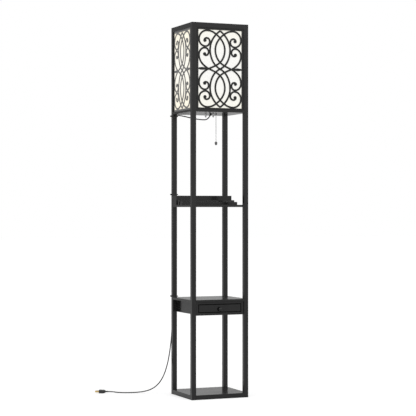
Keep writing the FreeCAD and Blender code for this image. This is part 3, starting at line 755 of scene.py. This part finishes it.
def addBulbCap(s):
    low, high = (Vector(corner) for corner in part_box("bulb_base"))
    middle = (low + high) / 2
    radius = (high.x - low.x) / 2
    tall = high.z - low.z
    steps = [*s["contact"], *((radius - inside, up) for inside, up in s["skirt"])]
    valley = radius - s["threadDepth"]
    rise, crest, fall = s["threadShares"]
    pitch = (tall - s["threadSpare"]) / s["threads"]
    for k in range(s["threads"]):
        foot = s["threadStart"] + pitch * k
        steps += [(valley, foot), (radius, foot + pitch * rise),
                  (radius, foot + pitch * crest), (valley, foot + pitch * fall)]
    steps += [(radius - inside, tall - below) for inside, below in s["rim"]]
    base = lathe("bulbCap", steps, segments=48)
    base.location = (middle.x, middle.y, low.z)
    settle(base, "root", "bulb_cap", capMetal, "bulb_base")


addBulb(bulbSet)
addBulbCap(capSet)
print("bulb blown")


# nuts and screw ends under the shade board

nutSet = {
    "offset": 0.0161, "turn": -23.0,
    "radius": 0.0046, "height": 0.0135, "chamfer": 0.0009,
    "flat": 0.87,           # a nut's end face, as a share of its radius
    "washer": 0.0052, "washerHeight": 0.0008, "washerEdge": (0.0002, 0.0001),
    "shank": 0.0019,
    "point": 0.55, "pointHeight": 0.0004,   # the screw's end, as a share of the shank
    "longer": 0.0052,       # than the part's screws
    "threads": 14, "threadDepth": 0.00028, "crest": 0.4, "valley": 0.9, "threadEnd": 0.0006,
}


def addScrews(s):
    low, high = (Vector(corner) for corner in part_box("lampholder_screws"))
    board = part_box("shade_board")[0][2]
    turn = math.radians(s["turn"])
    foot = low.z - s["longer"]
    reach = board - foot
    pitch = reach / s["threads"]
    inner = s["shank"] - s["threadDepth"]
    thread = [(s["shank"] * s["point"], 0), (inner, s["pointHeight"])]
    for k in range(s["threads"]):
        start = pitch * k + s["pointHeight"]
        thread += [(s["shank"], start + pitch * s["crest"]), (inner, start + pitch * s["valley"])]
    thread += [(s["shank"], reach + s["threadEnd"]),
               (s["shank"], high.z - foot - s["pointHeight"])]
    flat = s["radius"] * s["flat"]
    hexagon = [(flat, 0), (s["radius"], s["chamfer"]),
               (s["radius"], s["height"] - s["chamfer"]), (flat, s["height"])]
    lower, upper = s["washerEdge"]
    ring = [(s["washer"] - lower, 0), (s["washer"], lower),
            (s["washer"], s["washerHeight"] - upper),
            (s["washer"] - lower, s["washerHeight"])]
    parts = []
    for sign in (-1, 1):
        spot = Vector((sign * s["offset"] * math.cos(turn),
                       sign * s["offset"] * math.sin(turn) + axisY, board))
        screw = lathe("screw", thread, segments=20)
        screw.location = (spot.x, spot.y, foot)
        nut = lathe("nut", hexagon, segments=6, smoothAngle=10)
        nut.rotation_euler = (0, 0, turn)
        nut.location = (spot.x, spot.y, board - s["washerHeight"] - s["height"])
        washer = lathe("washer", ring, segments=40)
        washer.location = (spot.x, spot.y, board - s["washerHeight"])
        parts += [screw, nut, washer]
    settle(joined("holderScrews", parts), "root", "steel", zinc, "lampholder_screws")


addScrews(nutSet)
print("screws and nuts set")


# strain relief, plug and ties

reliefSet = {
    "foot": (0.0092, 0.00925), "lean": 35.0, "heading": 125.0,
    "flange": 0.007, "flangeHeight": 0.0016, "flangeEdge": ((0.0005, 0.0004), (0.0002, 0.0001)),
    "neckHeight": 0.0094,
    "length": 0.0115, "root": 0.0044, "tip": 0.0031, "start": 0.0006, "end": (0.0003, 0.0008),
    "ribs": 4, "ribDepth": 0.00045, "ribStart": 0.002, "ribSpare": 0.003,
    "ribShares": (0.45, 0.55, 0.9),
}


def ribbed(s):
    # (radius, height) steps of the ribs of a sleeve that tapers from root to tip
    steps = []
    crest, valley, end = s["ribShares"]
    pitch = (s["length"] - s["ribSpare"]) / s["ribs"]
    for k in range(s["ribs"]):
        foot = s["ribStart"] + pitch * k
        full = s["root"] + (s["tip"] - s["root"]) * foot / s["length"]
        steps += [(full, foot), (full, foot + pitch * crest),
                  (full - s["ribDepth"], foot + pitch * valley),
                  (full - s["ribDepth"], foot + pitch * end)]
    return steps


def addRelief(s):
    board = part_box("shade_board")[0][2]
    lean, heading = math.radians(s["lean"]), math.radians(s["heading"])
    way = Vector((math.sin(lean) * math.cos(heading), math.sin(lean) * math.sin(heading),
                  -math.cos(lean)))
    foot = Vector((*s["foot"], board))
    inside, below = s["end"]
    steps = [(s["root"], s["start"]), *ribbed(s),
             (s["tip"], s["length"] - below), (s["tip"] - inside, s["length"])]
    sleeve = aimed(lathe("sleeve", steps, segments=40), foot, way)
    (lowerInside, lowerRise), (upperInside, upperRise) = s["flangeEdge"]
    disc = lathe("disc", [(s["flange"] - lowerInside, 0), (s["flange"], lowerRise),
                          (s["flange"], s["flangeHeight"] - upperRise),
                          (s["flange"] - upperInside, s["flangeHeight"])])
    disc.location = foot - Vector((0, 0, s["flangeHeight"]))
    neck = lathe("neck", [(s["root"], 0), (s["root"], s["neckHeight"])], segments=40)
    neck.location = foot
    piece = joined("strainRelief", [sleeve, disc, neck])
    return settle(piece, "root", "black_nylon", nylon, "cord_bushing")


plugSet = {
    "length": 0.027, "width": 0.024, "height": 0.014,
    "taper": (1, 0.62, 0.72),       # of the end where the cord goes in
    # grooves in both sides: shares of the length, and a groove's width as one
    "grips": (0.34, 0.44, 0.54, 0.64, 0.74), "gripWidth": 0.04, "gripDepth": 0.0006,
    "soft": 0.0012, "softSegments": 3,
    "overlap": 0.002,               # how far the sleeve goes into the body
    "sleeve": {
        "length": 0.015, "root": 0.0030, "tip": 0.0036, "start": (0.0003, 0.0004),
        "ribs": 6, "ribDepth": 0.0004, "ribStart": 0.001, "ribSpare": 0.002,
        "ribShares": (0.5, 0.6, 0.9),
    },
}


def selectFaces(piece, test):
    # edit mode, with only the faces chosen whose middle and normal pass the test
    bpy.ops.object.mode_set(mode="EDIT")
    bpy.ops.mesh.select_mode(type="FACE")
    bpy.ops.mesh.select_all(action="DESELECT")
    bpy.ops.object.mode_set(mode="OBJECT")
    for face in piece.data.polygons:
        face.select = test(face.center, face.normal)
    bpy.ops.object.mode_set(mode="EDIT")


softAngle = 50


def soften(piece, width, segments):
    # the chosen piece's edges, bevelled for good
    edge = piece.modifiers.new("softEdges", "BEVEL")
    edge.width = width
    edge.segments = segments
    edge.limit_method = "ANGLE"
    edge.angle_limit = math.radians(softAngle)
    bpy.ops.object.modifier_apply(modifier=edge.name)


def addPlug(s, route):
    start = Vector(route[-1]) + Vector((0, axisY, 0))
    run = Vector(route[-1]) - Vector(route[-2])
    heading = math.atan2(run.y, run.x)
    sleeve = s["sleeve"]
    inside, rise = sleeve["start"]
    steps = [(sleeve["root"] - inside, 0), (sleeve["root"], rise), *ribbed(sleeve),
             (sleeve["tip"], sleeve["length"]), (sleeve["tip"], sleeve["length"] + s["overlap"])]
    relief = aimed(lathe("relief", steps, segments=32), (0, 0, 0), (1, 0, 0))
    applyPlace(relief)

    clearSelection()
    bodyX = sleeve["length"] - s["overlap"]
    bpy.ops.mesh.primitive_cube_add(
        size=1, location=(bodyX + s["length"] / 2, 0, 0),
        scale=(s["length"], s["width"], s["height"]),
    )
    body = bpy.context.object
    bpy.ops.object.transform_apply(location=True, rotation=False, scale=True)
    bpy.ops.object.mode_set(mode="EDIT")
    for share in s["grips"]:
        for side in (-s["gripWidth"], 0.0):
            bpy.ops.mesh.select_all(action="SELECT")
            bpy.ops.mesh.bisect(plane_co=(bodyX + s["length"] * (share + side), 0, 0),
                                plane_no=(1, 0, 0))
    bpy.ops.object.mode_set(mode="OBJECT")
    grooves = [bodyX + s["length"] * (share - s["gripWidth"] / 2) for share in s["grips"]]
    near = 0.0004
    selectFaces(body, lambda middle, normal: abs(normal.y) > 0.9 and any(
        abs(middle.x - x) < near for x in grooves))
    bpy.ops.mesh.extrude_region_shrink_fatten(
        TRANSFORM_OT_shrink_fatten={"value": -s["gripDepth"]})
    bpy.ops.object.mode_set(mode="OBJECT")
    selectFaces(body, lambda middle, normal: normal.x < -0.9 and middle.x < bodyX + near)
    bpy.ops.transform.resize(value=s["taper"], center_override=(bodyX, 0, 0))
    bpy.ops.object.mode_set(mode="OBJECT")
    soften(body, s["soft"], s["softSegments"])
    bpy.ops.object.shade_smooth_by_angle(angle=math.radians(35))
    plug = joined("plugBody", [body, relief])
    plug.rotation_euler = (0, 0, heading)
    plug.location = start
    return settle(plug, "root", "cord_black", sheath, "plug_body")


tieSet = {"spot": (-0.1327, 0.11935), "levels": (1.2069, 0.8664, 0.4254),
          "size": (0.0052, 0.0068, 0.0062), "rim": 0.0011, "sink": 0.0009,
          "soft": 0.0005, "softSegments": 2}


def addTies(s):
    # each tie's head, with the window its strap runs through, set over the solid's strap
    source = nodes["cord_ties"]
    ties = bpy.data.objects.new("cordTies", source.data.copy())
    ties.matrix_world = source.matrix_world
    bpy.context.scene.collection.objects.link(ties)
    choose(ties)
    bpy.ops.object.mode_set(mode="EDIT")
    bpy.ops.mesh.select_all(action="SELECT")
    bpy.ops.mesh.remove_doubles(threshold=weldGap)
    bpy.ops.object.mode_set(mode="OBJECT")
    parts = [ties]
    for level in s["levels"]:
        clearSelection()
        bpy.ops.mesh.primitive_cube_add(size=1, location=(*s["spot"], level), scale=s["size"])
        head = bpy.context.object
        bpy.ops.object.transform_apply(location=False, rotation=False, scale=True)
        selectFaces(head, lambda middle, normal: abs(normal.z) > 0.9)
        bpy.ops.mesh.inset(thickness=s["rim"])
        bpy.ops.mesh.extrude_region_shrink_fatten(
            TRANSFORM_OT_shrink_fatten={"value": -s["sink"]})
        bpy.ops.object.mode_set(mode="OBJECT")
        soften(head, s["soft"], s["softSegments"])
        parts.append(head)
    return settle(joined("cordTies", parts), "root", "black_nylon", nylon, "cord_ties")


strainRelief = addRelief(reliefSet)
cordTies = addTies(tieSet)
plugBody = addPlug(plugSet, cordRoute)
print("cord laid")


# floor, world and lamps

stageSet = {
    "floorSize": 60.0,
    "floorColour": 0.62,
    "floorRough": 0.9,
    # what lifts the floor to white for the camera: near the lamp and far from it
    "glow": (0.48, 0.58),
    "glowReach": (2.5, 6.0),
    "floorGloss": 0.10,     # and a little for reflections
    # what reflections see of the studio, from in front of the lamp to behind it
    "sky": ((0.0, 0.97), (0.72, 0.36), (0.82, 0.36), (1.0, 0.51)),
    "skyAway": (0.392, 0.920, 0.0),     # the way the camera looks
    "skyFrom": -0.3,        # where the studio starts to change, along that way
    "lampAim": (0, 0, 0.8),
    "lamps": (
        # name, place, size, watts
        ("keyLamp", (-2.6, -3.2, 3.4), 2.4, 60.0),
        ("fillLamp", (3.0, -2.4, 2.4), 2.4, 30.0),
        ("rimLamp", (1.0, 3.2, 3.0), 2.4, 30.0),
    ),
}


def addFloor(s):
    clearSelection()
    bpy.ops.mesh.primitive_plane_add(size=s["floorSize"], location=(0, 0, 0))
    floor = bpy.context.object
    floor.name = "studioFloor"
    material, tree, shader = newMaterial("studioFloor")
    link = tree.links.new
    shader.inputs["Base Color"].default_value = (*[s["floorColour"]] * 3, 1)
    shader.inputs["Roughness"].default_value = s["floorRough"]
    shader.inputs["Specular IOR Level"].default_value = 0.0
    # the camera sees the floor lifted to white, with its shadows kept
    path = tree.nodes.new("ShaderNodeLightPath")
    gloss = node(tree, "ShaderNodeMath", {1: s["floorGloss"]}, operation="MULTIPLY")
    link(path.outputs["Is Glossy Ray"], gloss.inputs[0])
    reach = node(tree, "ShaderNodeVectorMath", operation="LENGTH")
    link(objectPoint(tree), reach.inputs[0])
    near, far = s["glowReach"]
    nearGlow, farGlow = s["glow"]
    lift = node(tree, "ShaderNodeMapRange",
                {"From Min": near, "From Max": far, "To Min": nearGlow, "To Max": farGlow})
    link(reach.outputs["Value"], lift.inputs["Value"])
    glow = node(tree, "ShaderNodeMath", operation="MULTIPLY_ADD")
    link(path.outputs["Is Camera Ray"], glow.inputs[0])
    link(lift.outputs["Result"], glow.inputs[1])
    link(gloss.outputs[0], glow.inputs[2])
    shader.inputs["Emission Color"].default_value = (1, 1, 1, 1)
    link(glow.outputs[0], shader.inputs["Emission Strength"])
    floor.data.materials.append(material)


def addWorld(s):
    world = bpy.data.worlds.new("studioWorld")
    bpy.context.scene.world = world
    world.use_nodes = True
    tree = world.node_tree
    tree.nodes.clear()
    output = tree.nodes.new("ShaderNodeOutputWorld")
    # white to the camera; for every other ray a studio that is dimmer behind the lamp
    path = tree.nodes.new("ShaderNodeLightPath")
    away = node(tree, "ShaderNodeVectorMath", {1: s["skyAway"]}, operation="DOT_PRODUCT")
    tree.links.new(tree.nodes.new("ShaderNodeTexCoord").outputs["Generated"], away.inputs[0])
    depth = node(tree, "ShaderNodeMapRange", {"From Min": s["skyFrom"], "From Max": 1.0})
    tree.links.new(away.outputs["Value"], depth.inputs["Value"])
    room = tree.nodes.new("ShaderNodeValToRGB")
    stops = room.color_ramp.elements
    for position, tone in s["sky"][1:-1]:
        stops.new(position)
    for stop, (position, tone) in zip(stops, s["sky"]):
        stop.color = (tone, tone, tone, 1)
    tree.links.new(depth.outputs["Result"], room.inputs["Fac"])
    sky = node(tree, "ShaderNodeMapRange", {"To Max": 1.0})
    tree.links.new(room.outputs["Color"], sky.inputs["To Min"])
    tree.links.new(path.outputs["Is Camera Ray"], sky.inputs["Value"])
    background = tree.nodes.new("ShaderNodeBackground")
    background.inputs["Color"].default_value = (1, 1, 1, 1)
    tree.links.new(sky.outputs["Result"], background.inputs["Strength"])
    tree.links.new(background.outputs[0], output.inputs["Surface"])


def addLamps(s):
    for name, spot, size, watts in s["lamps"]:
        data = bpy.data.lights.new(name, "AREA")
        data.size = size
        data.energy = watts
        lamp = bpy.data.objects.new(name, data)
        bpy.context.scene.collection.objects.link(lamp)
        lamp.location = spot
        aim = Vector(s["lampAim"]) - Vector(spot)
        lamp.rotation_euler = aim.to_track_quat("-Z", "Y").to_euler()


addFloor(stageSet)
addWorld(stageSet)
addLamps(stageSet)
bpy.context.scene.view_settings.view_transform = "Standard"
print("stage lit")
